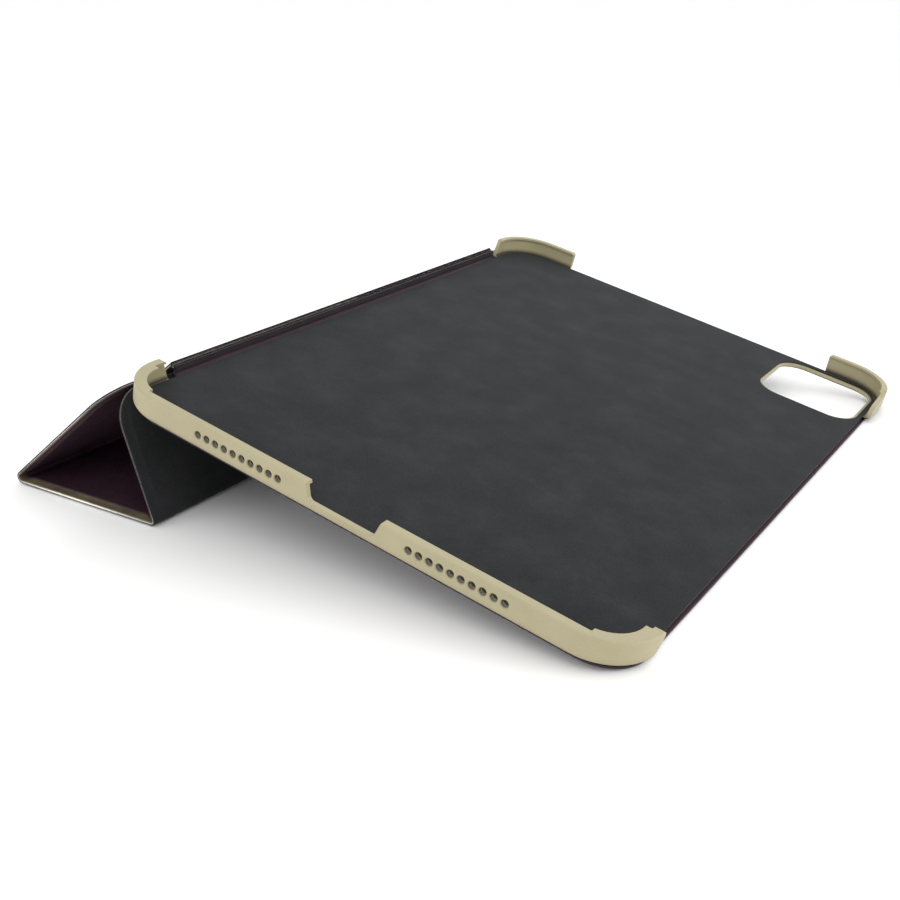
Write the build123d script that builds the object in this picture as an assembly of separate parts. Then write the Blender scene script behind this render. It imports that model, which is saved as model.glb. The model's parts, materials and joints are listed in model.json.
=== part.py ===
"""Folding stand case for an 11-inch tablet, standing on a table with its cover rolled into a prism.

The hard tray grips the tablet by its corners. A soft cover hangs from the tray's left side by a
narrow spine, and folds along two lines into a prism that props the tray's left edge up.
Units are millimetres. X runs across the case, from the fold that lies furthest out to the tray's
low edge. Y runs along the hinge lines, away from the end with the charging port. Z is up, and the
table is Z = 0. The origin is the middle of the bottom of the case's box.
"""
import math
import os

from build123d import *

# ---- driving dimensions ------------------------------------------------------------------------
# The tablet that the tray holds.
TABLET_WIDTH = 178.5
TABLET_LENGTH = 247.6
TABLET_THICKNESS = 5.9
TABLET_CORNER = 16.0

# The tray, in the tablet's frame: origin at the glass's left near corner, Z = 0 on the glass.
TRAY_TILT = 13.2              # degrees, left edge up
POCKET_GAP = 0.3
WALL = 1.7
LIP_RISE = 1.0                # lip top above the glass
LIP_GAP = 0.1                 # lip underside above the glass
FLOOR = 1.2
LINING = 0.4
BACK_SKIN = 0.7
BOTTOM_ROUND = 2.6
TOP_ROUND = 0.5
LONG_SIDE_LIP = 2.9           # how far the near wraps reach over the glass from its long edges
CORNER_LIP = 2.3              # the same from the near edge, close to the corners
NEAR_LIP = 1.0                # the same along the rest of the near wall
FAR_LIP = 0.5                 # the same all along the far wraps
LIP_CORNER = 11.5
FAR_LIP_CORNER = 15.5
CORNER_LIP_LENGTH = 12.0      # from the glass's long edge to the small step in the near lip
LIP_STEP_ROUND = 0.6
LIP_SIDE_STEP = 14.0          # from the glass's near edge to where the lip over its long edges narrows
OPEN_EDGE_INSET = 1.2         # the floor stops this far inside the glass where a side is open
SPINE_EDGE_INSET = 2.8        # the same on the spine's side, where the outer skin turns up
SKIN_INSET = 2.0              # the back's skin stops this far inside the glass, beside the flap
LINING_INSET = 0.9

# Where each corner wrap ends: (distance along the side, height, corner radius), top end first.
# The far right wrap drops below the glass before its end, to clear the stylus.
TOP = LIP_RISE + 0.02
BOTTOM = -7.62
RIGHT_NEAR_END = [(19.5, TOP, 2.0), (11.0, BOTTOM, 1.5)]
RIGHT_FAR_END = [(209.0, BOTTOM, 2.5), (219.5, -1.9, 3.5), (229.0, -0.8, 1.5), (233.0, TOP, 1.0)]
LEFT_NEAR_END = [(18.8, TOP, 1.0), (22.0, BOTTOM, 1.0)]
LEFT_FAR_END = [(226.5, BOTTOM, 1.0), (229.5, TOP, 1.0)]
FAR_LEFT_END = [(28.5, TOP, 1.5), (28.0, BOTTOM, 1.0)]
FAR_RIGHT_END = [(152.5, BOTTOM, 1.0), (152.0, TOP, 1.5)]
END_MARGIN = 6.0              # how far a cutter runs past a wrap's end, clear of its faces

PORT_TOP_WIDTH = 27.0
PORT_BOTTOM_WIDTH = 23.0
PORT_BOTTOM = -4.3            # height of the port notch's lower edge
PORT_ROUND = 1.8
SPEAKER_HOLE_RADIUS = 1.15
SPEAKER_RIM = 0.3             # bevel round each hole's mouth
SPEAKER_HOLE_PITCH = 3.43
SPEAKER_HOLES = 10            # in each of the two rows
SPEAKER_FIRST = 23.0          # from the middle of the near wall to the first hole
SPEAKER_HEIGHT = -2.6
CAMERA_CENTRE = (156.0, 224.0)
CAMERA_SIDE = 38.0
CAMERA_ROUND = 9.0

# The spine and its side flap, between the left corner wraps.
FLAP_OUT = 1.3                # flap's outer face, left of the glass edge
FLAP_TOP = -3.4
FLAP_FOOT = -6.2              # the flap slopes in under the tray below this height
FLAP_ROOT = 2.5               # and meets the back this far right of the glass edge
SPINE_SPAN = (25.0, 224.0)
SPINE_AXIS = (-2.2, -2.9)     # first hinge line, x and z in the tablet's frame
SPINE_LENGTH = 5.2            # from the first hinge line to the second
SPINE_THICKNESS = 1.2

# The cover's three panels, each measured between its fold lines.
PANEL_1_WIDTH = 69.0
PANEL_2_WIDTH = 69.0
PANEL_3_WIDTH = 43.4
STAND_PANEL_ANGLE = 107.4     # degrees, direction of the third panel above the table
COVER_LENGTH = 245.6
PANEL_CORNER = 11.0
SHEET = 0.45                  # outer skin and inner lining, each
BOARD = 1.0
HEM = 3.0                     # skin that is pressed down all round the board
FOLD_SETBACK = 3.4            # from the sharp fold line to its panels
STAND_SETBACK = 1.7           # from the stand fold line to its panels
SPINE_SETBACK = 1.2
FOLD_BEAD_RADIUS = 0.9

MAGNET_SIZE = (4.0, 20.0, 0.9)   # across the panel, along it, thick
MAGNET_SPACING = 58.0
MAGNET_EDGE = 8.0             # from a panel's edge to the middle of its magnets
SLEEP_MAGNET_RADIUS = 4.0
SLEEP_MAGNET_ALONG = 60.0

# ---- derived sizes -----------------------------------------------------------------------------
MIDDLE_X = TABLET_WIDTH / 2
MIDDLE_Y = TABLET_LENGTH / 2
SHELL_OUT = POCKET_GAP + WALL
FLOOR_TOP = -(TABLET_THICKNESS + 0.1 + LINING)
SHELL_BOTTOM = FLOOR_TOP - FLOOR
TRAY_BOTTOM = SHELL_BOTTOM - BACK_SKIN
PANEL = BOARD + 2 * SHEET
SPAN_DEPTH = 10.0             # how far a side's cutter reaches out past the tray


def plate(x_low, x_high, y_low, y_high, radius, z_low, z_high):
    """A flat plate with rounded corners."""
    outline = RectangleRounded(x_high - x_low, y_high - y_low, radius)
    middle = Pos((x_low + x_high) / 2, (y_low + y_high) / 2, z_low)
    return extrude(middle * outline, z_high - z_low)


def centred_plate(grow, radius, z_low, z_high):
    """A plate that is larger than the tablet by the same margin all round."""
    return plate(-grow, TABLET_WIDTH + grow, -grow, TABLET_LENGTH + grow, radius, z_low, z_high)


def span_cutter(first_end, second_end):
    """What is cut from an open side: a slab along Y that leaves both wraps with rounded ends."""
    low, high = BOTTOM - END_MARGIN, TOP + END_MARGIN
    first_y = min(y for y, _, _ in first_end) - END_MARGIN
    last_y = max(y for y, _, _ in second_end) + END_MARGIN
    points = [(first_y, high), (first_y, TOP)]
    points += [(y, z) for y, z, _ in first_end]
    points += [(first_y, BOTTOM), (first_y, low), (last_y, low), (last_y, BOTTOM)]
    points += [(y, z) for y, z, _ in second_end]
    points += [(last_y, TOP), (last_y, high)]
    face = make_face(Polyline(*points, close=True))
    for y, z, radius in first_end + second_end:
        corner = face.vertices().sort_by_distance(Vector(y, z, 0))[0]
        face = fillet(corner, radius)
    upright = Plane(origin=(0, 0, 0), x_dir=(0, 1, 0), z_dir=(1, 0, 0))
    return extrude(upright * face, SPAN_DEPTH)


def port_cutter():
    """The open-topped notch for the charging port."""
    half_bottom = PORT_BOTTOM_WIDTH / 2
    half_top = PORT_TOP_WIDTH / 2
    high = LIP_RISE + 1
    points = [(-half_bottom, PORT_BOTTOM), (half_bottom, PORT_BOTTOM), (half_top, high), (-half_top, high)]
    face = make_face(Polyline(*points, close=True))
    face = fillet(face.vertices().sort_by(Axis.Y)[:2], PORT_ROUND)
    upright = Plane(origin=(MIDDLE_X, 0, 0), x_dir=(1, 0, 0), z_dir=(0, -1, 0))
    return extrude(upright * face, SHELL_OUT + CORNER_LIP + 1, both=True)


def speaker_cutters():
    """Two rows of round holes through the near wall."""
    holes = []
    for side in (-1, 1):
        for index in range(SPEAKER_HOLES):
            x = MIDDLE_X + side * (SPEAKER_FIRST + index * SPEAKER_HOLE_PITCH)
            place = Pos(x, -SHELL_OUT / 2, SPEAKER_HEIGHT) * Rot(90, 0, 0)
            holes.append(place * Cylinder(SPEAKER_HOLE_RADIUS, SHELL_OUT + 2))
            mouth = Pos(x, -SHELL_OUT, SPEAKER_HEIGHT) * Rot(90, 0, 0)
            holes.append(mouth * Cone(SPEAKER_HOLE_RADIUS, SPEAKER_HOLE_RADIUS + 2 * SPEAKER_RIM,
                                      2 * SPEAKER_RIM))
    return holes


def camera_cutter(margin):
    """The camera window, cut right through the back, with a margin all round."""
    side = CAMERA_SIDE + 2 * margin
    outline = RectangleRounded(side, side, CAMERA_ROUND + margin)
    return extrude(Pos(*CAMERA_CENTRE, TRAY_BOTTOM - 1) * outline, 6)


def rear_shell():
    """Hard tray: a floor, four corner wraps and the near wall, in one moulding."""
    outer_corner = TABLET_CORNER + SHELL_OUT
    shell = centred_plate(SHELL_OUT, outer_corner, SHELL_BOTTOM, LIP_RISE)
    shell = fillet(shell.edges().group_by(Axis.Z)[0], BOTTOM_ROUND)
    shell = fillet(shell.edges().group_by(Axis.Z)[-1], TOP_ROUND)
    shell -= centred_plate(POCKET_GAP, TABLET_CORNER + POCKET_GAP, FLOOR_TOP, LIP_GAP)
    shell -= plate(LONG_SIDE_LIP, TABLET_WIDTH - LONG_SIDE_LIP, CORNER_LIP, MIDDLE_Y,
                   LIP_CORNER, 0, TOP + 1)
    shell -= plate(CORNER_LIP_LENGTH, TABLET_WIDTH - CORNER_LIP_LENGTH, NEAR_LIP, MIDDLE_Y,
                   LIP_STEP_ROUND, 0, TOP + 1)
    shell -= plate(FAR_LIP, TABLET_WIDTH - FAR_LIP, MIDDLE_Y / 2, TABLET_LENGTH - FAR_LIP,
                   FAR_LIP_CORNER, 0, TOP + 1)

    shell -= plate(NEAR_LIP, TABLET_WIDTH - NEAR_LIP, LIP_SIDE_STEP, TABLET_LENGTH - LIP_CORNER,
                   LIP_STEP_ROUND, 0, TOP + 1)

    shell -= Pos(TABLET_WIDTH - OPEN_EDGE_INSET, 0, 0) * span_cutter(RIGHT_NEAR_END, RIGHT_FAR_END)
    shell -= Pos(SPINE_EDGE_INSET - SPAN_DEPTH, 0, 0) * span_cutter(LEFT_NEAR_END, LEFT_FAR_END)
    far_side = Pos(0, TABLET_LENGTH - OPEN_EDGE_INSET + SPAN_DEPTH, 0) * Rot(0, 0, -90)
    shell -= far_side * span_cutter(FAR_LEFT_END, FAR_RIGHT_END)

    shell -= port_cutter()
    shell -= speaker_cutters()
    shell -= camera_cutter(0)
    return shell


def back_skin():
    """Outer skin on the tray's back, with the flap that comes up the open left side."""
    skin = plate(SKIN_INSET, TABLET_WIDTH, 0, TABLET_LENGTH, TABLET_CORNER - SKIN_INSET,
                 TRAY_BOTTOM, SHELL_BOTTOM)
    slope = math.atan2(FLAP_FOOT - TRAY_BOTTOM, FLAP_ROOT + FLAP_OUT)
    inner_foot = FLAP_FOOT + BACK_SKIN * math.tan(math.pi / 4 - slope / 2)
    inner_root = FLAP_ROOT + BACK_SKIN * math.tan(slope / 2)
    end = FLAP_ROOT + 2 * BACK_SKIN
    points = [(end, TRAY_BOTTOM), (FLAP_ROOT, TRAY_BOTTOM), (-FLAP_OUT, FLAP_FOOT), (-FLAP_OUT, FLAP_TOP),
              (BACK_SKIN - FLAP_OUT, FLAP_TOP), (BACK_SKIN - FLAP_OUT, inner_foot),
              (inner_root, SHELL_BOTTOM), (end, SHELL_BOTTOM)]
    face = make_face(Polyline(*points, close=True))
    start, stop = SPINE_SPAN
    across = Plane(origin=(0, start, 0), x_dir=(1, 0, 0), z_dir=(0, -1, 0))
    skin += extrude(across * face, start - stop)
    return skin - camera_cutter(1.0)


def tray_lining():
    """Soft lining that the tablet lies on."""
    lining = centred_plate(-LINING_INSET, TABLET_CORNER - LINING_INSET, FLOOR_TOP, FLOOR_TOP + LINING)
    return lining - camera_cutter(1.0)


# ---- where things stand, in the section plane ---------------------------------------------------
def polar(angle, distance):
    """A step in the section plane, as x and z."""
    return (distance * math.cos(math.radians(angle)), distance * math.sin(math.radians(angle)))


TRAY_TURN = Rot(0, TRAY_TILT, 0)
TRAY_SHAPES = {
    "rear_shell": TRAY_TURN * rear_shell(),
    "back_skin": TRAY_TURN * back_skin(),
    "tray_lining": TRAY_TURN * tray_lining(),
}
TRAY_LIFT = -min(shape.bounding_box().min.Z for shape in TRAY_SHAPES.values())


def from_tray(x, z):
    """The section point of a point in the tablet's frame."""
    tilt = math.radians(TRAY_TILT)
    return (x * math.cos(tilt) + z * math.sin(tilt),
            -x * math.sin(tilt) + z * math.cos(tilt) + TRAY_LIFT)


# The spine stands in line with the first panel, from the first hinge line down to the table.
SPINE_ROOT = from_tray(*SPINE_AXIS)
FOLD_HEIGHT = PANEL / 2
REACH = SPINE_LENGTH + PANEL_1_WIDTH
PANEL_1_ANGLE = 180 + math.degrees(math.asin((SPINE_ROOT[1] - FOLD_HEIGHT) / REACH))
spine_step = polar(PANEL_1_ANGLE, SPINE_LENGTH)
SPINE_END = (SPINE_ROOT[0] + spine_step[0], SPINE_ROOT[1] + spine_step[1])
FOLD_1 = (SPINE_ROOT[0] + polar(PANEL_1_ANGLE, REACH)[0], FOLD_HEIGHT)
FOLD_2 = (FOLD_1[0] + PANEL_2_WIDTH, FOLD_HEIGHT)


def standing(origin, angle):
    """A plane at a hinge line: its X runs along the panel, its Z points out of the lining side."""
    along_x, along_z = polar(angle, 1)
    return Plane(origin=(origin[0], MIDDLE_Y, origin[1]), x_dir=(along_x, 0, along_z),
                 z_dir=(along_z, 0, -along_x))


def panel_outline(start, end, inset, round_start, round_end):
    """A panel's outline from start to end, with its outer corners rounded where asked."""
    width = end - start - 2 * inset
    length = COVER_LENGTH - 2 * inset
    face = Pos((start + end) / 2, 0) * Rectangle(width, length)
    corners = face.vertices().sort_by(Axis.X)
    radius = PANEL_CORNER - inset
    if round_start:
        face = fillet(corners[:2], radius)
    if round_end:
        corners = face.vertices().sort_by(Axis.X)
        face = fillet(corners[-2:], radius)
    return face


def magnet_row(across, count):
    """Flat bar magnets in a row along a panel."""
    size_across, size_along, thick = MAGNET_SIZE
    row = []
    for index in range(count):
        along = (index - (count - 1) / 2) * MAGNET_SPACING
        row.append(Pos(across, along, 0) * Box(size_across, size_along, thick))
    return row


def panel_layers(name, start, end, round_start, round_end, magnets=()):
    """The layers of one panel, flat, with the middle of its thickness at Z = 0."""
    outline = panel_outline(start, end, 0, round_start, round_end)
    inner = panel_outline(start, end, HEM, round_start, round_end)
    board = extrude(Pos(0, 0, -BOARD / 2) * inner, BOARD)
    skin = extrude(Pos(0, 0, -PANEL / 2) * outline, SHEET + BOARD) - board
    lining = extrude(Pos(0, 0, BOARD / 2) * outline, SHEET)
    for magnet in magnets:
        board -= magnet
    return {f"{name}_skin": skin, f"{name}_board": board, f"{name}_lining": lining}


def fold_bead(origin, radius, span):
    """The unstiffened strip of skin and lining at a fold, as a bead round the fold line."""
    length = span[1] - span[0]
    middle = (origin[0], (span[0] + span[1]) / 2, origin[1])
    return Pos(*middle) * Rot(90, 0, 0) * Cylinder(radius, length)


def cover_shapes():
    """Every piece of the spine and the three panels, standing."""
    shapes = {}
    cover_span = (MIDDLE_Y - COVER_LENGTH / 2, MIDDLE_Y + COVER_LENGTH / 2)

    spine_plane = standing(SPINE_ROOT, PANEL_1_ANGLE)
    bead = SPINE_THICKNESS / 2
    strip_length = SPINE_LENGTH - 2 * bead - 0.2
    for name, side in (("spine_skin", -1), ("spine_lining", 1)):
        strip = Pos(SPINE_LENGTH / 2, 0, side * bead / 2) * Box(
            strip_length, SPINE_SPAN[1] - SPINE_SPAN[0], bead)
        shapes[name] = spine_plane * strip
    shapes["spine_root_fold"] = fold_bead(SPINE_ROOT, bead, SPINE_SPAN)
    shapes["spine_cover_fold"] = fold_bead(SPINE_END, bead, SPINE_SPAN)

    top_magnets = magnet_row(SPINE_SETBACK + MAGNET_EDGE, 4)
    layers = panel_layers("panel_1", SPINE_SETBACK, PANEL_1_WIDTH - FOLD_SETBACK, True, False,
                          top_magnets)
    layers["panel_1_magnets"] = Compound(children=top_magnets)
    place = standing(SPINE_END, PANEL_1_ANGLE)
    shapes.update({name: place * shape for name, shape in layers.items()})

    layers = panel_layers("panel_2", FOLD_SETBACK, PANEL_2_WIDTH - STAND_SETBACK, False, False)
    place = standing(FOLD_1, 0)
    shapes.update({name: place * shape for name, shape in layers.items()})
    shapes["fold_1"] = fold_bead(FOLD_1, FOLD_BEAD_RADIUS, cover_span)

    edge_magnets = magnet_row(PANEL_3_WIDTH - MAGNET_EDGE, 4)
    sleep_magnet = Pos(PANEL_3_WIDTH / 2, -SLEEP_MAGNET_ALONG, 0) * Cylinder(
        SLEEP_MAGNET_RADIUS, MAGNET_SIZE[2])
    layers = panel_layers("panel_3", STAND_SETBACK, PANEL_3_WIDTH, False, True,
                          edge_magnets + [sleep_magnet])
    layers["panel_3_magnets"] = Compound(children=edge_magnets)
    layers["sleep_magnet"] = sleep_magnet
    place = standing(FOLD_2, STAND_PANEL_ANGLE)
    shapes.update({name: place * shape for name, shape in layers.items()})
    shapes["fold_2"] = fold_bead(FOLD_2, FOLD_BEAD_RADIUS, cover_span)
    return shapes


# ---- the whole case ----------------------------------------------------------------------------
shapes = {name: Pos(0, 0, TRAY_LIFT) * shape for name, shape in TRAY_SHAPES.items()}
shapes.update(cover_shapes())
boxes = [shape.bounding_box() for shape in shapes.values()]
low_x = min(box.min.X for box in boxes)
high_x = max(box.max.X for box in boxes)
to_origin = Pos(-(low_x + high_x) / 2, -MIDDLE_Y, 0)

os.makedirs("parts", exist_ok=True)
for name, shape in shapes.items():
    export_step(to_origin * shape, f"parts/{name}.step")

hinges = {"spine_root": SPINE_ROOT, "spine_end": SPINE_END, "fold_1": FOLD_1, "fold_2": FOLD_2}
for name, (x, z) in hinges.items():
    print(f"{name}: x {x - (low_x + high_x) / 2:.4f}, z {z:.4f}")
print(f"the spine and panel 1 stand at {PANEL_1_ANGLE:.4f} degrees")
print(f"origin is {(low_x + high_x) / 2:.4f} right of the glass edge's line, tray lift {TRAY_LIFT:.4f}")
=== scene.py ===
import json
import math

import bmesh
import bpy
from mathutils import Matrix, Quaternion, Vector, noise


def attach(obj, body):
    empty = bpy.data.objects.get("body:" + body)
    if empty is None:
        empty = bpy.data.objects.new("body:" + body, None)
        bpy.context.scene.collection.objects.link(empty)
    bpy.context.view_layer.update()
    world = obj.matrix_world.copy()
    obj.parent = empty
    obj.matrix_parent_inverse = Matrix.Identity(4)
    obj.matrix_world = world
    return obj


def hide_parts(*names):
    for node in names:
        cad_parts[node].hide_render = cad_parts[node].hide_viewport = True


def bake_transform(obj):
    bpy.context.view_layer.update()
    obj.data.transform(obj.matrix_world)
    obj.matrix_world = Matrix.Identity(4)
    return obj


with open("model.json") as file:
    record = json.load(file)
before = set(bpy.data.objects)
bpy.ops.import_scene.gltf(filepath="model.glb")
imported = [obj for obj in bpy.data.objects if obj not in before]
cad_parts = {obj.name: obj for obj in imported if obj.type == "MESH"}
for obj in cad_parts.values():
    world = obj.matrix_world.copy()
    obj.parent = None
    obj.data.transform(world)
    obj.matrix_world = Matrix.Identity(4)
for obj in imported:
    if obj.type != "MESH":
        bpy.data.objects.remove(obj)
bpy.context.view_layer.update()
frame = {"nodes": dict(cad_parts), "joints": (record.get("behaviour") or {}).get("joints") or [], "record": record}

MM = 0.001

# ---- sizes, in millimetres ----------------------------------------------------------------------
COVER_LENGTH = 245.6
PANEL_HALF = 0.95             # half the thickness over the board
HEM_HALF = 0.60               # the same along the pressed hem and at the folds
CORE_HALF = 0.17              # the pale backing that shows along the cut edges
HEM = 3.0                     # width of the pressed hem
SHOULDER = 1.6                # width of the slope from the hem up to the board
EDGE_ROUND = 0.26             # rounding of a sheet's cut edges
PANEL_CORNER = 11.0
SPINE_SETBACK = 1.2           # the first panel's edge is this far beyond the spine
SPINE_SPAN = (-98.8, 100.2)   # where the spine's strip starts and ends along Y
ROOT_RADIUS = 0.7             # of the spine's crest, over the tray's side flap
FLAP_OVERLAP = 1.6            # how far the spine's strip comes down inside the flap
PANEL_OVERLAP = 1.4           # how far the strip reaches into the first panel's hem
PANEL_3_WIDTH = 43.4
STAND_PANEL_ANGLE = 107.4     # degrees above the table
FOLD_REACH = 7.4              # how much of each panel a fold's strip takes in
FOLD_RADIUS = 1.5             # of the strip's middle, at the first fold
STAND_RADIUS = 1.3            # the same at the second fold
BOARD_FADE = 1.9              # length over which a fold's strip swells to the board's thickness
BOARD_OVERLAP = 0.6           # the full thickness carries on this far into the strip
CORE_INSET = 0.12             # the backing's edge is this far inside the sheets' edges
WAVE_HEIGHT = 0.05            # the faint unevenness of a laminated sheet
WAVE_LENGTH = 22.0
WAVE_SHIFT = 40               # keeps the unevenness of the two sheets apart
SHARP_ANGLE = 38              # degrees: edges sharper than this aren't shaded smooth

# Half the backing's thickness, and how strong the painted sheen on the pressed hem is, on the spine and each
# panel.
PAINTED_HEM_SHEEN = 0.30
STYLES = {"panel_1": (0.08, PAINTED_HEM_SHEEN), "panel_2": (0.34, 1.0), "panel_3": (0.12, PAINTED_HEM_SHEEN)}

# ---- places, from the frame ---------------------------------------------------------------------
joints = {joint["name"]: joint for joint in frame["joints"]}
mounts = {mount["name"]: mount for mount in frame["record"]["mounts"]}


def hinge_point(name):
    """A hinge line's place in the section plane, as x and z in millimetres."""
    x, _, z = joints[name]["pos_m"]
    return Vector((x / MM, z / MM))


SPINE_ROOT = hinge_point("spine_swing")
SPINE_END = hinge_point("cover_swing")
FOLD_1 = hinge_point("panel_fold")
FOLD_2 = hinge_point("stand_fold")
pocket_axis = mounts["tablet_pocket"]["axis"]
TILT = math.atan2(pocket_axis[0], pocket_axis[2])
STAND_DIRECTION = Vector((math.cos(math.radians(STAND_PANEL_ANGLE)),
                          math.sin(math.radians(STAND_PANEL_ANGLE))))


def towards(start, end):
    """Unit vector from one section point to another."""
    return (end - start).normalized()


def smooth(value):
    """0 below 0, 1 above 1, and smooth between."""
    value = min(1.0, max(0.0, value))
    return value * value * (3 - 2 * value)


# ---- materials ----------------------------------------------------------------------------------
SPECKLE_SHARE = 0.08          # how strongly the shell's speckle shows
PAINTED_SHADE_REACH = 0.0026         # metres: how near its own walls the shell's painted shade starts
NAP_SHARE = 0.35              # how strongly the microfibre's strands show


def new_material(name):
    """A material with its node tree, shader and object coordinates."""
    material = bpy.data.materials.new(name)
    material.use_nodes = True
    tree = material.node_tree
    shader = tree.nodes["Principled BSDF"]
    where = tree.nodes.new("ShaderNodeTexCoord").outputs["Object"]
    return material, tree, shader, where


def noise_node(tree, where, scale, detail=4.0, roughness=0.55):
    """A noise texture, its scale given in features per metre."""
    node = tree.nodes.new("ShaderNodeTexNoise")
    node.inputs["Scale"].default_value = scale
    node.inputs["Detail"].default_value = detail
    node.inputs["Roughness"].default_value = roughness
    tree.links.new(where, node.inputs["Vector"])
    return node.outputs["Fac"]


def cells_node(tree, where, scale, feature="F1"):
    """A cell texture's distance."""
    node = tree.nodes.new("ShaderNodeTexVoronoi")
    node.feature = feature
    node.inputs["Scale"].default_value = scale
    tree.links.new(where, node.inputs["Vector"])
    return node.outputs["Distance"]


def ramp(tree, value, stops):
    """A colour ramp: stops are (position, colour)."""
    node = tree.nodes.new("ShaderNodeValToRGB")
    while len(node.color_ramp.elements) < len(stops):
        node.color_ramp.elements.new(0.5)
    for element, (position, colour) in zip(node.color_ramp.elements, stops):
        element.position = position
        element.color = (*colour, 1)
    tree.links.new(value, node.inputs["Fac"])
    return node.outputs["Color"]


def spread(tree, value, low, high, from_low=0.3, from_high=0.7):
    """Maps a value to a range."""
    node = tree.nodes.new("ShaderNodeMapRange")
    node.inputs["From Min"].default_value = from_low
    node.inputs["From Max"].default_value = from_high
    node.inputs["To Min"].default_value = low
    node.inputs["To Max"].default_value = high
    tree.links.new(value, node.inputs["Value"])
    return node.outputs["Result"]


def mix(tree, share, first, second):
    """Mixes two colours; share and the colours may be links or values."""
    node = tree.nodes.new("ShaderNodeMix")
    node.data_type = "RGBA"
    for socket, value in (("Factor", share), ("A", first), ("B", second)):
        target = [i for i in node.inputs if i.name == socket and i.enabled][0]
        if isinstance(value, bpy.types.NodeSocket):
            tree.links.new(value, target)
        else:
            target.default_value = value if socket == "Factor" else (*value, 1)
    return [o for o in node.outputs if o.enabled][0]


def bumps(tree, shader, layers):
    """Stacks bump layers of (height link, distance in metres, strength) on the shader's normal."""
    normal = None
    for height, distance, strength in layers:
        node = tree.nodes.new("ShaderNodeBump")
        node.inputs["Distance"].default_value = distance
        node.inputs["Strength"].default_value = strength
        tree.links.new(height, node.inputs["Height"])
        if normal is not None:
            tree.links.new(normal, node.inputs["Normal"])
        normal = node.outputs["Normal"]
    tree.links.new(normal, shader.inputs["Normal"])


def srgb(red, green, blue):
    """A linear colour from 8-bit screen values."""
    def channel(value):
        value /= 255
        return value / 12.92 if value <= 0.04045 else ((value + 0.055) / 1.055) ** 2.4
    return channel(red), channel(green), channel(blue)


def hard_shell_material():
    """Khaki polycarbonate with a fine moulded texture, and painted shade deep in its holes and corners."""
    material, tree, shader, where = new_material("khaki_polycarbonate")
    cloud = noise_node(tree, where, scale=60, detail=3)
    speckle = noise_node(tree, where, scale=2600, detail=2)
    body = ramp(tree, cloud, [(0.3, srgb(156, 148, 116)), (0.7, srgb(164, 156, 124))])
    specks = ramp(tree, speckle, [(0.35, srgb(132, 124, 92)), (0.65, srgb(192, 184, 151))])
    body = mix(tree, SPECKLE_SHARE, body, specks)
    # Painted shade: where the shell's own walls close in, in holes and corners, its colour darkens towards a dark
    # brown.
    shade_probe = tree.nodes.new("ShaderNodeAmbientOcclusion")
    shade_probe.inputs["Distance"].default_value = PAINTED_SHADE_REACH
    shade_probe.samples = 8
    painted_shade = spread(tree, shade_probe.outputs["AO"], low=0.95, high=0.0, from_low=0.50, from_high=0.88)
    body = mix(tree, painted_shade, body, srgb(62, 54, 44))
    tree.links.new(body, shader.inputs["Base Color"])
    tree.links.new(spread(tree, cloud, low=0.40, high=0.50), shader.inputs["Roughness"])
    shader.inputs["Specular IOR Level"].default_value = 0.45
    grain = noise_node(tree, where, scale=3200, detail=3)
    ripple = noise_node(tree, where, scale=120, detail=2)
    bumps(tree, shader, [(grain, 0.00004, 0.35), (ripple, 0.00008, 0.10)])
    return material


def leather_material():
    """Coated leather: fine pebbles and faint creases, and an olive highlight painted into its colour along the
    hems.
    """
    material, tree, shader, where = new_material("dark_leather")
    # Painted sheen: the hem attribute, in patches, lightens the leather's colour towards olive, a painted
    # highlight along the hems.
    hem = tree.nodes.new("ShaderNodeAttribute")
    hem.attribute_name = "hem"
    cloud = noise_node(tree, where, scale=45, detail=4)
    body = ramp(tree, cloud, [(0.3, srgb(47, 28, 39)), (0.55, srgb(53, 34, 45)),
                              (0.75, srgb(60, 41, 50))])
    pebbles = cells_node(tree, where, scale=1500)
    gaps = spread(tree, pebbles, low=0.0, high=0.35, from_low=0.1, from_high=0.6)
    body = mix(tree, gaps, body, srgb(36, 22, 30))
    patches = noise_node(tree, where, scale=160, detail=3)
    painted_sheen_share = tree.nodes.new("ShaderNodeMath")
    painted_sheen_share.operation = "MULTIPLY"
    tree.links.new(hem.outputs["Fac"], painted_sheen_share.inputs[0])
    tree.links.new(spread(tree, patches, low=0.35, high=0.75), painted_sheen_share.inputs[1])
    body = mix(tree, painted_sheen_share.outputs[0], body, srgb(112, 106, 80))
    tree.links.new(body, shader.inputs["Base Color"])
    gloss = noise_node(tree, where, scale=300, detail=3)
    tree.links.new(spread(tree, gloss, low=0.42, high=0.56), shader.inputs["Roughness"])
    shader.inputs["Specular IOR Level"].default_value = 0.28
    creases = cells_node(tree, where, scale=420, feature="DISTANCE_TO_EDGE")
    pores = noise_node(tree, where, scale=5200, detail=2)
    bumps(tree, shader, [(pebbles, 0.00010, 0.45), (creases, 0.00020, 0.10),
                         (pores, 0.00003, 0.25)])
    return material


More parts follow.
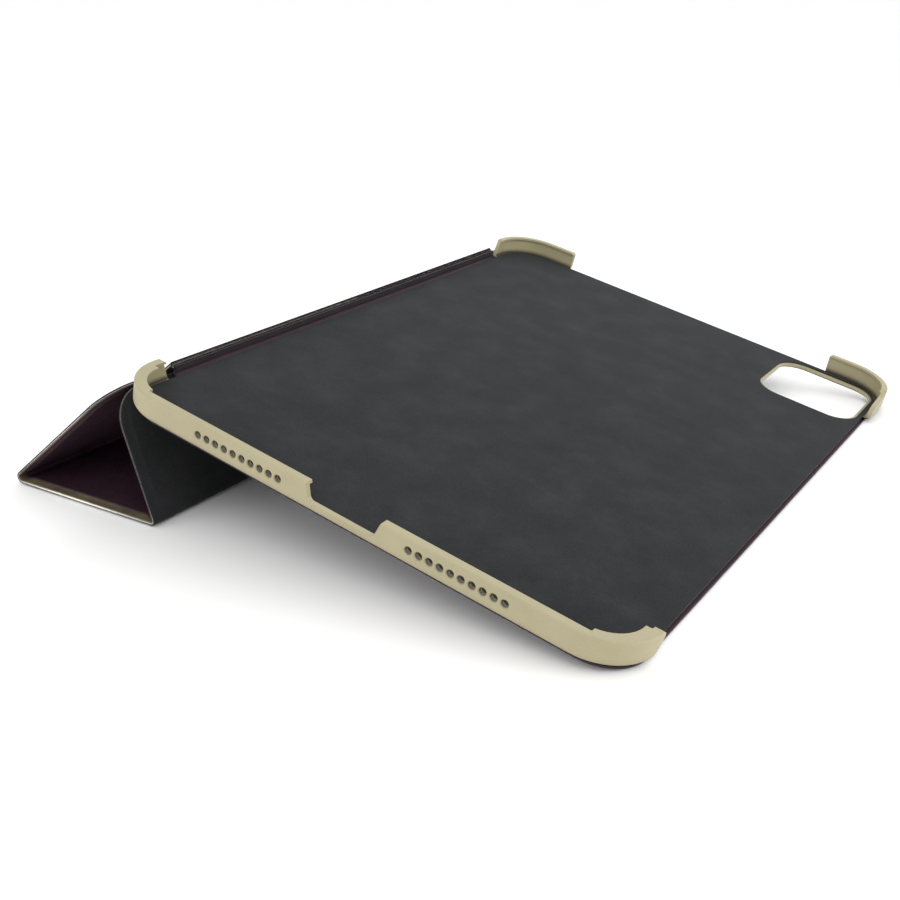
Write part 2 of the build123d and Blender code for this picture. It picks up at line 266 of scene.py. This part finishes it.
def microfibre_material():
    """Charcoal microfibre: a short brushed nap with soft mottling."""
    material, tree, shader, where = new_material("charcoal_microfibre")
    cloud = noise_node(tree, where, scale=70, detail=5, roughness=0.6)
    strands = tree.nodes.new("ShaderNodeMapping")
    strands.inputs["Scale"].default_value = (1.0, 0.25, 1.0)
    tree.links.new(where, strands.inputs["Vector"])
    nap = noise_node(tree, strands.outputs["Vector"], scale=5200, detail=4, roughness=0.7)
    body = ramp(tree, cloud, [(0.30, srgb(25, 26, 27)), (0.5, srgb(34, 35, 36)),
                              (0.72, srgb(46, 46, 48))])
    fibres = ramp(tree, nap, [(0.3, srgb(17, 17, 18)), (0.7, srgb(62, 63, 64))])
    body = mix(tree, NAP_SHARE, body, fibres)
    tree.links.new(body, shader.inputs["Base Color"])
    shader.inputs["Roughness"].default_value = 0.95
    shader.inputs["Specular IOR Level"].default_value = 0.15
    shader.inputs["Sheen Weight"].default_value = 0.22
    shader.inputs["Sheen Roughness"].default_value = 0.45
    shader.inputs["Sheen Tint"].default_value = (*srgb(150, 152, 156), 1)
    bumps(tree, shader, [(nap, 0.00012, 0.6), (cloud, 0.00010, 0.15)])
    return material


def backing_material():
    """Pale woven backing, seen only along the cut edges."""
    material, tree, shader, where = new_material("pale_backing")
    threads = noise_node(tree, where, scale=2200, detail=3)
    body = ramp(tree, threads, [(0.3, srgb(150, 146, 138)), (0.7, srgb(200, 196, 188))])
    tree.links.new(body, shader.inputs["Base Color"])
    shader.inputs["Roughness"].default_value = 0.9
    bumps(tree, shader, [(threads, 0.00008, 0.5)])
    return material


def magnet_material():
    """Nickel plate with fine brushing."""
    material, tree, shader, where = new_material("nickel_plate")
    brushing = noise_node(tree, where, scale=1800, detail=3)
    body = ramp(tree, brushing, [(0.3, srgb(168, 168, 166)), (0.7, srgb(205, 205, 202))])
    tree.links.new(body, shader.inputs["Base Color"])
    shader.inputs["Metallic"].default_value = 1.0
    tree.links.new(spread(tree, brushing, low=0.24, high=0.36), shader.inputs["Roughness"])
    return material


KHAKI = hard_shell_material()
LEATHER = leather_material()
MICROFIBRE = microfibre_material()
BACKING = backing_material()
NICKEL = magnet_material()


def paint(node, material):
    """Gives a CAD node a material."""
    data = frame["nodes"][node].data
    data.materials.clear()
    data.materials.append(material)


# ---- the cover's sheets -------------------------------------------------------------------------
# A sheet is a row of stations along its section. Each station has a middle point, the direction
# that its lining side faces, its half length along Y, how far it is from the sheet's free end, how
# much of the board's thickness it has, from 0 to 1, half the backing's thickness, and how strong
# the painted sheen on its hem is. INSETS places the columns near a sheet's long edges,
# FREE_END_STEPS the stations near its free end.
INSETS = (0.0, 0.03, 0.1, 0.18, 0.28, 0.6, 1.6, 2.6, 3.0, 3.4, 3.8, 4.2, 4.8, 6.5, 10.0, 16.0, 24.0)
MIDDLE_COLUMNS = 26
FREE_END_STEPS = (0.0, 0.03, 0.1, 0.18, 0.28, 0.6, 1.1, 1.7, 2.3, 2.8, 3.2, 3.6, 4.0, 4.4, 5.0, 6.0,
                  7.5, 9.5, 12.0, 15.0)
ALONG_STEP = 4.5              # between stations, away from the ends
FOLD_STEP = 0.35              # the same near a fold
NO_FREE_END = 1000.0          # the distance given to a station that is nowhere near a free end


def station(point, facing, half=COVER_LENGTH / 2, from_end=NO_FREE_END, board=1.0,
            reach=COVER_LENGTH / 2, middle=0.0):
    """One station. reach is the half length before any corner is rounded off it, middle where it
    is centred along Y."""
    return {"point": point, "facing": facing, "half": half, "from_end": from_end, "board": board,
            "reach": reach, "middle": middle, "core": CORE_HALF, "painted_sheen": PAINTED_HEM_SHEEN}


def styled(stations, first, last=None):
    """Sets the backing's thickness and the hem's painted highlight, from one pair of values to another."""
    stations = list(stations)
    last = last or first
    for k, spot in enumerate(stations):
        share = smooth(k / (len(stations) - 1))
        spot["core"] = first[0] + (last[0] - first[0]) * share
        spot["painted_sheen"] = first[1] + (last[1] - first[1]) * share
    return stations


def corner_half(from_end):
    """Half length of a panel near its free end, whose corners are round."""
    if from_end >= PANEL_CORNER:
        return COVER_LENGTH / 2
    reach = math.sqrt(PANEL_CORNER**2 - (PANEL_CORNER - from_end) ** 2)
    return COVER_LENGTH / 2 - PANEL_CORNER + reach


def edge_distance(along, spot):
    """How far inside its sheet's outline a spot is."""
    side = spot["reach"] - abs(along)
    end = spot["from_end"]
    if side < PANEL_CORNER and end < PANEL_CORNER:
        return PANEL_CORNER - math.hypot(PANEL_CORNER - side, PANEL_CORNER - end)
    return min(side, end)


def face_height(along, spot):
    """A sheet's outer face: its distance from the cover's middle, how fully it is over the board
    (0 to 1) and how strong the painted highlight along its hem is."""
    inside = max(0.0, edge_distance(along, spot))
    rise = smooth((inside - HEM + SHOULDER / 2) / SHOULDER)
    board = rise * spot["board"]
    height = HEM_HALF + (PANEL_HALF - HEM_HALF) * board
    if inside < EDGE_ROUND:
        height -= EDGE_ROUND - math.sqrt(EDGE_ROUND**2 - (EDGE_ROUND - inside) ** 2)
    return height, board, (1 - rise) * spot["painted_sheen"]


def wave(point, along, seed):
    """The faint unevenness of a sheet."""
    where = Vector((point.x, along, point.y + seed)) / WAVE_LENGTH
    return WAVE_HEIGHT * noise.noise(where)


def columns(half):
    """Places across a station, close together near both edges."""
    edge = [-half + inset for inset in INSETS]
    reach = half - INSETS[-1]
    middle = [-reach + 2 * reach * (k + 1) / (MIDDLE_COLUMNS + 1) for k in range(MIDDLE_COLUMNS)]
    return edge + middle + [-value for value in reversed(edge)]


def sheet_layer(name, stations, side, material, body):
    """One layer as a closed solid: side is -1 for the leather, 1 for the microfibre."""
    vertices, hems, rings = [], [], []
    for spot in stations:
        ring = []
        for along in columns(spot["half"]):
            height, board, hem = face_height(along, spot)
            height += wave(spot["point"], along, WAVE_SHIFT * side) * board
            place = spot["point"] + spot["facing"] * side * height
            ring.append((place, along + spot["middle"], hem))
        for along in (spot["half"], 0.0, -spot["half"]):
            place = spot["point"] + spot["facing"] * side * spot["core"]
            ring.append((place, along + spot["middle"], 0.0))
        rings.append(range(len(vertices), len(vertices) + len(ring)))
        vertices += [(place.x * MM, along * MM, place.y * MM) for place, along, _ in ring]
        # hems: each point's share of the painted sheen on the leather
        hems += [hem for _, _, hem in ring]
    return loft(name, vertices, rings, material, body, hems)


def core_layer(name, stations, body):
    """The pale backing between the two sheets, a hair inside their edges."""
    vertices, rings = [], []
    for spot in stations:
        half = spot["half"] - CORE_INSET
        ring = [(spot["point"] + spot["facing"] * across * spot["core"], along + spot["middle"])
                for across, along in ((-1, -half), (-1, half), (1, half), (1, -half))]
        rings.append(range(len(vertices), len(vertices) + len(ring)))
        vertices += [(place.x * MM, along * MM, place.y * MM) for place, along in ring]
    return loft(name, vertices, rings, BACKING, body)


def loft(name, vertices, rings, material, body=None, hems=None):
    """A closed solid through rings of points, shaded smooth, riding on a body if one is named."""
    faces = []
    count = len(rings[0])
    for first, second in zip(rings, rings[1:]):
        for k in range(count):
            after = (k + 1) % count
            faces.append((first[k], first[after], second[after], second[k]))
    faces.append(tuple(reversed(rings[0])))
    faces.append(tuple(rings[-1]))
    mesh = bpy.data.meshes.new(name)
    mesh.from_pydata(vertices, [], faces)
    mesh.materials.append(material)
    # The hem attribute carries each point's share of the painted sheen on the leather.
    if hems:
        layer = mesh.attributes.new("hem", "FLOAT", "POINT")
        layer.data.foreach_set("value", hems)
    mesh.validate()
    piece = bpy.data.objects.new(name, mesh)
    bpy.context.scene.collection.objects.link(piece)
    tidy_normals(piece)
    if body:
        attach(piece, body)
    return piece


def tidy_normals(piece):
    """Points every face outwards, and shades smooth except at sharp edges."""
    work = bmesh.new()
    work.from_mesh(piece.data)
    bmesh.ops.recalc_face_normals(work, faces=work.faces)
    sharp = math.radians(SHARP_ANGLE)
    for edge in work.edges:
        edge.smooth = len(edge.link_faces) == 2 and edge.calc_face_angle(0) < sharp
    for face in work.faces:
        face.smooth = True
    work.to_mesh(piece.data)
    work.free()


# ---- runs of stations ---------------------------------------------------------------------------
def straight(start, direction, facing, low, high):
    """Evenly spaced stations along a flat panel, from low to high."""
    count = max(2, math.ceil((high - low) / ALONG_STEP))
    for k in range(count + 1):
        along = low + (high - low) * k / count
        yield station(start + direction * along, facing)


def free_ended(start, direction, facing, end, inner):
    """Stations along a panel from its free end, at end, to inner, in either sense."""
    sense = 1 if inner > end else -1
    for step in FREE_END_STEPS:
        yield station(start + direction * (end + sense * step), facing, corner_half(step), step)
    last = end + sense * FREE_END_STEPS[-1]
    count = math.ceil(abs(inner - last) / ALONG_STEP)
    for k in range(1, count + 1):
        along = last + (inner - last) * k / count
        yield station(start + direction * along, facing)


def facing_of(direction):
    """The lining side of a panel that runs along a direction away from the spine."""
    return Vector((direction.y, -direction.x))


def fold_board(along, reach):
    """How much of the board's thickness a fold's strip has, so far from the fold line."""
    return smooth((along - reach + BOARD_FADE + BOARD_OVERLAP) / BOARD_FADE)


def bend(point, back, ahead, reach, radius, steps=12):
    """Stations round a fold: in along one panel, round an arc, and out along the next."""
    facing_in = facing_of(-back)
    facing_out = facing_of(ahead)
    half_angle = back.angle(ahead) / 2
    tangent = radius / math.tan(half_angle)
    bisector = (back + ahead).normalized()
    centre = point + bisector * radius / math.sin(half_angle)
    for along in spaced(reach, tangent):
        yield station(point + back * along, facing_in, board=fold_board(along, reach))
    angle = math.atan2(facing_in.y, facing_in.x)
    other = math.atan2(facing_out.y, facing_out.x)
    turn = (other - angle + math.pi) % (2 * math.pi) - math.pi
    for k in range(1, steps):
        share = k / steps
        facing = Vector((math.cos(angle + turn * share), math.sin(angle + turn * share)))
        yield station(centre + facing * radius, facing, board=0.0)
    for along in reversed(spaced(reach, tangent)):
        yield station(point + ahead * along, facing_out, board=fold_board(along, reach))


def spaced(far, near):
    """Distances from far down to near, close together."""
    count = max(3, math.ceil(abs(far - near) / FOLD_STEP))
    return [far + (near - far) * k / count for k in range(count + 1)]


def arc(centre, radius, start_angle, end_angle, steps):
    """Section points round an arc, with the direction out from its centre, in degrees."""
    for k in range(steps + 1):
        angle = math.radians(start_angle + (end_angle - start_angle) * k / steps)
        outward = Vector((math.cos(angle), math.sin(angle)))
        yield centre + outward * radius, outward


def line(start, end, facing, steps):
    """Section points along a straight line, with the direction that the lining side faces."""
    for k in range(steps + 1):
        yield start.lerp(end, k / steps), facing


def strip(path):
    """Stations of the thin strip along the spine: the path gives each point and its lining side."""
    low, high = SPINE_SPAN
    for point, facing in path:
        yield station(point, facing, (high - low) / 2, board=0.0, reach=(high - low) / 2,
                      middle=(high + low) / 2)


def laminate(name, stations, body, nodes):
    stations = list(stations)
    leather = sheet_layer(f"{name}_leather", stations, -1, LEATHER, body)
    lining = sheet_layer(f"{name}_microfibre", stations, 1, MICROFIBRE, body)
    core = core_layer(f"{name}_backing", stations, body)
    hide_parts(*nodes["leather"])
    if nodes["lining"]:
        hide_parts(*nodes["lining"])
    if nodes["core"]:
        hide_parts(*nodes["core"])
    return leather, lining, core


def panel_nodes(name):
    """The CAD nodes that a panel's three layers stand for."""
    return {"leather": [f"{name}_skin"], "lining": [f"{name}_lining"], "core": [f"{name}_board"]}


def cover():
    """The three panels, and the strips that bend between them."""
    along_1 = towards(SPINE_END, FOLD_1)
    along_2 = towards(FOLD_1, FOLD_2)
    width_1 = (FOLD_1 - SPINE_END).length
    width_2 = (FOLD_2 - FOLD_1).length
    panels = (
        ("panel_1", free_ended(SPINE_END, along_1, facing_of(along_1),
                               SPINE_SETBACK, width_1 - FOLD_REACH)),
        ("panel_2", straight(FOLD_1, along_2, facing_of(along_2),
                             FOLD_REACH, width_2 - FOLD_REACH)),
        ("panel_3", free_ended(FOLD_2, STAND_DIRECTION, facing_of(STAND_DIRECTION),
                               PANEL_3_WIDTH, FOLD_REACH)))
    for name, stations in panels:
        laminate(name, styled(stations, STYLES[name]), name, panel_nodes(name))
    folds = (("fold_1", FOLD_1, -along_1, along_2, FOLD_RADIUS, "panel_1", "panel_2"),
             ("fold_2", FOLD_2, -along_2, STAND_DIRECTION, STAND_RADIUS, "panel_2", "panel_3"))
    for name, point, back, ahead, radius, first, second in folds:
        stations = styled(bend(point, back, ahead, FOLD_REACH, radius),
                          STYLES[first], STYLES[second])
        pieces = laminate(name, stations, None, {"leather": [name], "lining": [], "core": []})
        half_angle = back.angle(ahead) / 2
        for piece in pieces:
            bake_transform(piece)


def spine():
    """The unstiffened spine: up from the tray's side flap, over, and down to the first panel."""
    up = Vector((math.sin(TILT), math.cos(TILT)))
    out = Vector((-math.cos(TILT), math.sin(TILT)))
    down = towards(SPINE_ROOT, SPINE_END)
    facing = facing_of(down)
    halfway = SPINE_ROOT.lerp(SPINE_END, 0.5)

    crest = SPINE_ROOT - facing * ROOT_RADIUS
    first = math.degrees(math.atan2(-out.y, -out.x)) % 360
    last = math.degrees(math.atan2(facing.y, facing.x)) % 360
    flap = crest - out * ROOT_RADIUS
    foot = flap - up * FLAP_OVERLAP
    path = list(line(foot, flap, -out, steps=4))
    path += list(arc(crest, ROOT_RADIUS, first, last, steps=14))
    path += list(line(SPINE_ROOT, halfway, facing, steps=6))
    pieces = laminate("spine_root", strip(path), None,
                      {"leather": ["spine_skin", "spine_root_fold"], "lining": ["spine_lining"],
                       "core": []})
    for piece in pieces:
        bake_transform(piece)

    end = SPINE_END + down * (SPINE_SETBACK + PANEL_OVERLAP)
    pieces = laminate("spine_end", strip(line(halfway, end, facing, steps=12)), None,
                      {"leather": ["spine_cover_fold"], "lining": [], "core": []})
    for piece in pieces:
        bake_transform(piece)


# ---- the tray -----------------------------------------------------------------------------------
def tray():
    """The tray's CAD nodes, with their real materials."""
    paint("rear_shell", KHAKI)
    paint("back_skin", LEATHER)
    paint("tray_lining", MICROFIBRE)
    for node in ("panel_1_magnets", "panel_3_magnets", "sleep_magnet"):
        paint(node, NICKEL)


# ---- studio -------------------------------------------------------------------------------------
FLOOR_SIZE = 80               # metres, so that its edge is lost in the white
FLOOR_DROP = 0.0002           # metres, which keeps it just clear of the cover
# The soft lights: name, place, target, size in metres and power in watts.
SOFT_LIGHTS = (
    ("key", (0.55, -0.75, 0.95), (0, 0, 0.02), 0.7, 3.2),
    ("fill", (-0.50, -0.86, 0.22), (-0.06, 0, 0.02), 0.5, 1.3),
    ("side", (0.95, 0.25, 0.30), (0.08, 0.08, 0.02), 0.6, 3.0),
    ("back", (-0.2, 0.95, 0.75), (0, 0, 0.02), 0.8, 1.5))
FOLD_LIGHT_PLACE = (-0.052, -0.38, 0.010)     # a small lamp that looks into the folded prism
FOLD_LIGHT_TARGET = (-0.094, -0.06, 0.019)
FOLD_LIGHT_POWER = 4.0
FOLD_LIGHT_CONE = 13                          # degrees
CAMERA_PLACE = (0.21561, -0.35481, 0.16429)
CAMERA_TARGET = (-0.00414, -0.01922, 0.00087)
CAMERA_ROLL = -0.39                           # degrees
CAMERA_LENS = 47.16                           # millimetres, on a 36 mm sensor


def aim(thing, place, target, roll=0.0):
    """Puts a camera or a light at a place, looking at a target."""
    place, target = Vector(place), Vector(target)
    thing.location = place
    thing.rotation_mode = "QUATERNION"
    look = (target - place).to_track_quat("-Z", "Y")
    thing.rotation_quaternion = look @ Quaternion((0, 0, 1), math.radians(roll))


def light(name, kind, place, target, power):
    """A light of one kind at a place, shining at a target. Returns its settings."""
    data = bpy.data.lights.new(name, kind)
    data.energy = power
    lamp = bpy.data.objects.new(name, data)
    bpy.context.scene.collection.objects.link(lamp)
    aim(lamp, place, target)
    return data


def soft_light(name, place, target, size, power):
    """A round area light."""
    data = light(name, "AREA", place, target, power)
    data.shape = "DISK"
    data.size = size


def studio():
    """Plain pale floor, white surroundings, soft light and the camera."""
    bpy.ops.mesh.primitive_plane_add(size=FLOOR_SIZE, location=(0, 0, -FLOOR_DROP))
    floor = bpy.context.object
    floor.name = "floor"
    material, _, shader, _ = new_material("floor_white")
    shader.inputs["Base Color"].default_value = (1, 1, 1, 1)
    shader.inputs["Roughness"].default_value = 0.8
    floor.data.materials.append(material)

    world = bpy.data.worlds.new("studio")
    world.use_nodes = True
    world.node_tree.nodes["Background"].inputs["Color"].default_value = (1, 1, 1, 1)
    world.node_tree.nodes["Background"].inputs["Strength"].default_value = 1.0
    bpy.context.scene.world = world
    for name, place, target, size, power in SOFT_LIGHTS:
        soft_light(name, place, target, size, power)
    fold = light("fold", "SPOT", FOLD_LIGHT_PLACE, FOLD_LIGHT_TARGET, FOLD_LIGHT_POWER)
    fold.spot_size = math.radians(FOLD_LIGHT_CONE)
    fold.spot_blend = 0.8
    fold.shadow_soft_size = 0.008

    camera = bpy.data.cameras.new("camera")
    camera.lens = CAMERA_LENS
    camera.sensor_width = 36.0
    holder = bpy.data.objects.new("camera", camera)
    bpy.context.scene.collection.objects.link(holder)
    aim(holder, CAMERA_PLACE, CAMERA_TARGET, roll=CAMERA_ROLL)
    bpy.context.scene.camera = holder
    bpy.context.scene.view_settings.view_transform = "Standard"


tray()
cover()
spine()
studio()
